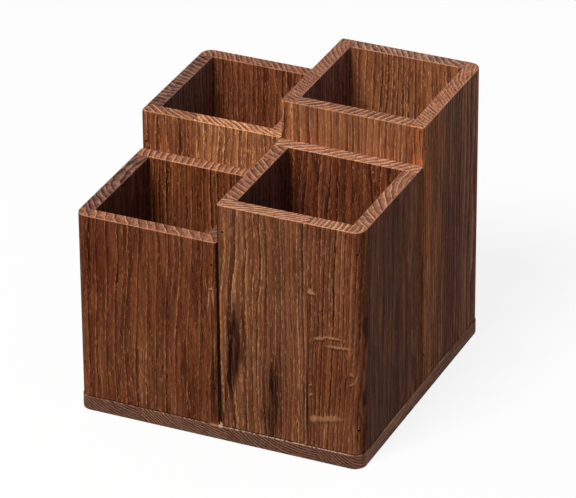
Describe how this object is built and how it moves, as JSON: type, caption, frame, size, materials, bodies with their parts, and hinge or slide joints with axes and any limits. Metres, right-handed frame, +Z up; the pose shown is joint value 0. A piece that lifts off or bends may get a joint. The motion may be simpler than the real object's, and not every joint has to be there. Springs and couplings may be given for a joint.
{
  "type": "cutlery organizer",
  "caption": "Wooden cutlery organizer: open-topped square compartments of stepped heights in a block on one shared base board.",
  "frame": {"origin": "centre of the underside, where the organizer rests", "axes": "+Z up, -Y the front with the shortest compartment on its left, +X to the right seen from the front"},
  "size_m": [0.16, 0.16, 0.1582],
  "materials": {
    "base_oak": "satin",
    "short_box_oak": "satin",
    "right_box_oak": "satin",
    "left_box_oak": "satin",
    "tall_box_oak": "satin",
    "pin_steel": "dark"
  },
  "bodies": {
    "root": {"base_stave_1": "base_oak", "base_stave_2": "base_oak", "base_stave_3": "base_oak", "base_stave_4": "base_oak", "left_box_back": "left_box_oak", "left_box_front_stave_1": "left_box_oak", "left_box_front_stave_2": "left_box_oak", "left_box_left": "left_box_oak", "left_box_pin_back_left_high": "pin_steel", "left_box_pin_back_left_low": "pin_steel", "left_box_pin_back_right_high": "pin_steel", "left_box_pin_back_right_low": "pin_steel", "left_box_pin_front_left_high": "pin_steel", "left_box_pin_front_left_low": "pin_steel", "left_box_pin_front_right_high": "pin_steel", "left_box_pin_front_right_low": "pin_steel", "left_box_right": "left_box_oak", "right_box_back_stave_1": "right_box_oak", "right_box_back_stave_2": "right_box_oak", "right_box_front_stave_1": "right_box_oak", "right_box_front_stave_2": "right_box_oak", "right_box_left_stave_1": "right_box_oak", "right_box_left_stave_2": "right_box_oak", "right_box_pin_back_left_high": "pin_steel", "right_box_pin_back_left_low": "pin_steel", "right_box_pin_back_right_high": "pin_steel", "right_box_pin_back_right_low": "pin_steel", "right_box_pin_front_left_high": "pin_steel", "right_box_pin_front_left_low": "pin_steel", "right_box_pin_front_right_high": "pin_steel", "right_box_pin_front_right_low": "pin_steel", "right_box_right": "right_box_oak", "short_box_back": "short_box_oak", "short_box_front": "short_box_oak", "short_box_left": "short_box_oak", "short_box_pin_back_left_high": "pin_steel", "short_box_pin_back_left_low": "pin_steel", "short_box_pin_back_right_high": "pin_steel", "short_box_pin_back_right_low": "pin_steel", "short_box_pin_front_left_high": "pin_steel", "short_box_pin_front_left_low": "pin_steel", "short_box_pin_front_right_high": "pin_steel", "short_box_pin_front_right_low": "pin_steel", "short_box_right": "short_box_oak", "tall_box_back": "tall_box_oak", "tall_box_front": "tall_box_oak", "tall_box_left": "tall_box_oak", "tall_box_pin_left_left_high": "pin_steel", "tall_box_pin_left_left_low": "pin_steel", "tall_box_pin_left_right_high": "pin_steel", "tall_box_pin_left_right_low": "pin_steel", "tall_box_pin_right_left_high": "pin_steel", "tall_box_pin_right_left_low": "pin_steel", "tall_box_pin_right_right_high": "pin_steel", "tall_box_pin_right_right_low": "pin_steel", "tall_box_right": "tall_box_oak"}
  },
  "joints": []
}
